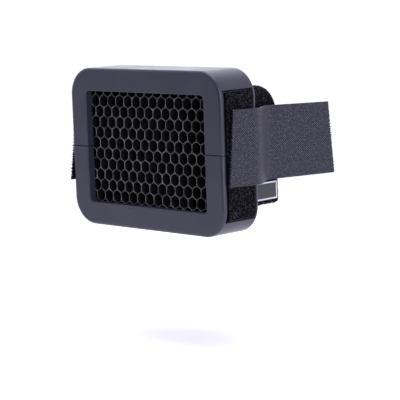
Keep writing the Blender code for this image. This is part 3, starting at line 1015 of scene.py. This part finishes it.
def tail_strip():
    """The strap's outer face from the left foot along the head's underside, down a ramp to its tip."""
    before, down, after = TAIL_STEPS
    foot = BAND_BOTTOM_RADIUS - BAND_HALF_WIDTH
    points = [Vector((x, 0, BAND_BOTTOM)) for x in spread(foot, BAND_END, before)]
    for share in spread(0, 1, down)[1:]:
        x = BAND_END + (TAIL_RAMP_END - BAND_END) * share
        points.append(Vector((x, 0, BAND_BOTTOM - TAIL_DROP * (1 - math.cos(math.pi * share)) / 2)))
    points += [Vector((x, 0, BAND_BOTTOM - TAIL_DROP)) for x in spread(TAIL_RAMP_END, TAIL_TIP, after)[1:]]
    return Strip(with_inwards(points, lambda run: Vector((-run.z, 0, run.x)).normalized()), (0, 1, 0))


def clear_of_label(strip):
    def keep(s, across):
        point = strip.at(s)[0]
        beside = LABEL_LOW.y - LABEL_CLEAR < across < LABEL_HIGH.y + LABEL_CLEAR
        level = LABEL_LOW.z - LABEL_CLEAR < point.z < LABEL_HIGH.z + LABEL_CLEAR
        return not (beside and level and point.x > 0)
    return keep


def straight_ends(start, stop):
    return lambda share: (start, stop)


def loop_tape(name, pile_name, strip, seed, keep=None):
    """Loop tape of the strap's width along a whole strip: its cloth and its pile."""
    tape = cloth(
        name, strip, straight_ends(0, strip.length), (BAND_FRONT, BAND_REAR), (TAPE_CLOTH_TOP, TAPE),
        "loop_cloth", "loop_pile", step=(0.9 * MM, 0.6 * MM), lump=0.16 * MM, lump_size=2.4 * MM,
    )
    places = scattered(
        seed, (TAPE_EDGE, strip.length - TAPE_EDGE), (BAND_FRONT + TAPE_EDGE, BAND_REAR - TAPE_EDGE),
        TAPE_PILE_SPACING, pile_loop(TAPE_PILE), keep,
    )
    pile = threads(
        pile_name, strip, places, TAPE_PILE_ROOT, LOOP, TAPE_PILE_THREAD, "pile_thread", "loop_pile",
    )
    return tape, pile


def build_band():
    strip = band_strip()
    band, pile = loop_tape("strap_band", "strap_band_pile", strip, 51, clear_of_label(strip))
    lining = cloth(
        "strap_rubber_lining", strip, straight_ends(LINING_START, strip.length),
        (BAND_FRONT + TAPE_EDGE, BAND_REAR - TAPE_EDGE), (TAPE + LAYER_GAP, LINING_FACE),
        "strap_rubber", "strap_rubber", step=(0.8 * MM, 1.5 * MM),
    )
    near, far = BAND_FRONT + LINING_SEAM, BAND_REAR - LINING_SEAM
    last = strip.length - LINING_SEAM_STOP
    runs = [
        ((LINING_SEAM, near), (last, near)), ((LINING_SEAM, far), (last, far)),
        ((LINING_SEAM_CROSS, near), (LINING_SEAM_CROSS, far)),
    ]
    seam = seam_on(
        "strap_lining_seam", strip, 71, runs, LINING_STITCH, LINING_FACE, "strap_rubber", inner=True,
    )
    for made in (band, pile, lining, seam):
        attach(made, "strap")
    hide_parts("strap_loop_tape")
    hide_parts("strap_lining")


def box_runs(first, last, near, far):
    """The seam runs round a box on a strip: its two long sides, then its two ends."""
    return [
        ((first, near), (last, near)), ((first, far), (last, far)),
        ((first, near), (first, far)), ((last, near), (last, far)),
    ]


def build_label():
    """The label lies in the pile on the strap's right side, its face slightly puckered."""
    width = LABEL_HIGH.y - LABEL_LOW.y
    points = [Vector((LABEL_HIGH.x, y, LABEL_LOW.z)) for y in spread(LABEL_LOW.y, LABEL_HIGH.y, LABEL_STEPS)]
    label_line = Strip([(point, Vector((-1, 0, 0))) for point in points], (0, 0, 1))
    height = LABEL_HIGH.z - LABEL_LOW.z
    label = cloth(
        "strap_woven_label", label_line, straight_ends(0, width), (0, height),
        (LAYER_GAP, LABEL_HIGH.x - LABEL_LOW.x), "label_cloth", "label_cloth",
        step=(0.5 * MM, 0.4 * MM), lump=0.05 * MM, lump_size=5 * MM,
    )
    runs = box_runs(LABEL_SEAM, width - LABEL_SEAM, LABEL_SEAM, height - LABEL_SEAM)
    seam = seam_on("strap_label_seam", label_line, 73, runs, LABEL_STITCH, 0.0, "label_cloth")
    for made in (label, seam):
        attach(made, "strap")
    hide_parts("strap_label")


def build_tail():
    strip = tail_strip()
    tail, pile = loop_tape("strap_tail_tape", "strap_tail_pile", strip, 53)
    patch_start = strip.length - (TAIL_TIP - PATCH_LOW.x)
    patch_stop = strip.length - (TAIL_TIP - PATCH_HIGH.x)
    patch = cloth(
        "strap_patch_cloth", strip, straight_ends(patch_start, patch_stop), (PATCH_LOW.y, PATCH_HIGH.y),
        (TAPE + LAYER_GAP, PATCH_FACE), "hook_cloth", "hook_tape", step=(0.8 * MM, 0.8 * MM),
    )
    places = scattered(
        57, (patch_start + HOOK_SELVEDGE, patch_stop - HOOK_SELVEDGE),
        (PATCH_LOW.y + HOOK_SELVEDGE, PATCH_HIGH.y - HOOK_SELVEDGE), PATCH_HOOK_SPACING,
        hook_stem(PATCH_HOOK),
    )
    hooks = hooks_on("strap_patch_hooks", strip, places, PATCH_HOOK_ROOT)
    near, far = PATCH_LOW.y + PATCH_SEAM, PATCH_HIGH.y - PATCH_SEAM
    first, last = patch_start + PATCH_SEAM, patch_stop - PATCH_SEAM
    crossed = [((first, near), (last, far)), ((first, far), (last, near))]
    seam = seam_on(
        "strap_patch_seam", strip, 79, [*box_runs(first, last, near, far), *crossed], PATCH_STITCH,
        TAPE_SEAM_DEPTH, "loop_pile",
    )
    for made in (tail, pile):
        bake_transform(made)
    for made in (patch, hooks, seam):
        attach(made, "strap_tail")
    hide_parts("strap_end")
    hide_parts("strap_hook_patch")


# Stage, light and camera

def build_stage():
    look = Look("pale_floor")
    place = look.coordinate("Object")
    cloud = look.noise(place, 3, 3)
    look.set(Base_Color=look.mix(cloud, (0.9, 0.9, 0.9), (0.93, 0.93, 0.93)), Roughness=0.9,
             Specular_IOR_Level=0.1)
    ring = [
        (FLOOR_RADIUS * math.cos(a), FLOOR_RADIUS * math.sin(a), FLOOR_LEVEL)
        for a in spread(0, 2 * math.pi, FLOOR_SIDES)[:-1]
    ]
    data = bpy.data.meshes.new("floor")
    data.from_pydata(ring, [], [tuple(range(len(ring)))])
    data.materials.append(look.material)
    floor = bpy.data.objects.new("floor", data)
    bpy.context.scene.collection.objects.link(floor)


def build_world():
    """A white room: a bright wall behind on the left, and an unlit end in front."""
    world = bpy.data.worlds.new("white_room")
    bpy.context.scene.world = world
    room = Nodes(world, "Background")
    place = room.coordinate("Generated")
    level = ROOM_LEVEL
    for direction, low, high, change in ROOM_ZONES:
        toward = room.node(
            "ShaderNodeVectorMath", output=1, settings={"operation": "DOT_PRODUCT"},
            _0=place, _1=Vector(direction).normalized(),
        )
        zone = room.node(
            "ShaderNodeMapRange", settings={"interpolation_type": "SMOOTHSTEP"},
            _0=toward, _1=low, _2=high, _3=0.0, _4=change,
        )
        level = room.math("ADD", zone, level)
    by_camera = room.node("ShaderNodeLightPath")
    strength = room.node("ShaderNodeMix", _0=by_camera, _2=level, _3=BACKDROP_LEVEL)
    room.set(Strength=strength, Color=ROOM_TINT)


def build_lights():
    for name, place, size, power in LIGHTS:
        data = bpy.data.lights.new(name, "AREA")
        data.shape = "RECTANGLE"
        data.size, data.size_y = size
        data.energy = power
        data.color = ROOM_TINT
        made = bpy.data.objects.new(name, data)
        made.location = place
        made.rotation_euler = (-Vector(place)).to_track_quat("-Z", "Y").to_euler()
        bpy.context.scene.collection.objects.link(made)


def build_camera():
    data = bpy.data.cameras.new("camera")
    data.lens = CAMERA_LENS
    data.sensor_width = CAMERA_SENSOR
    made = bpy.data.objects.new("camera", data)
    made.location = CAMERA_PLACE
    turn = (CAMERA_AIM - CAMERA_PLACE).to_track_quat("-Z", "Y")
    made.rotation_mode = "QUATERNION"
    made.rotation_quaternion = turn @ Quaternion((0, 0, 1), math.radians(CAMERA_ROLL))
    bpy.context.scene.collection.objects.link(made)
    bpy.context.scene.camera = made


build_frame()
build_core()
build_pads()
build_tabs()
build_band()
build_label()
build_tail()
build_stage()
build_world()
build_lights()
build_camera()
bpy.context.scene.view_settings.view_transform = "Standard"
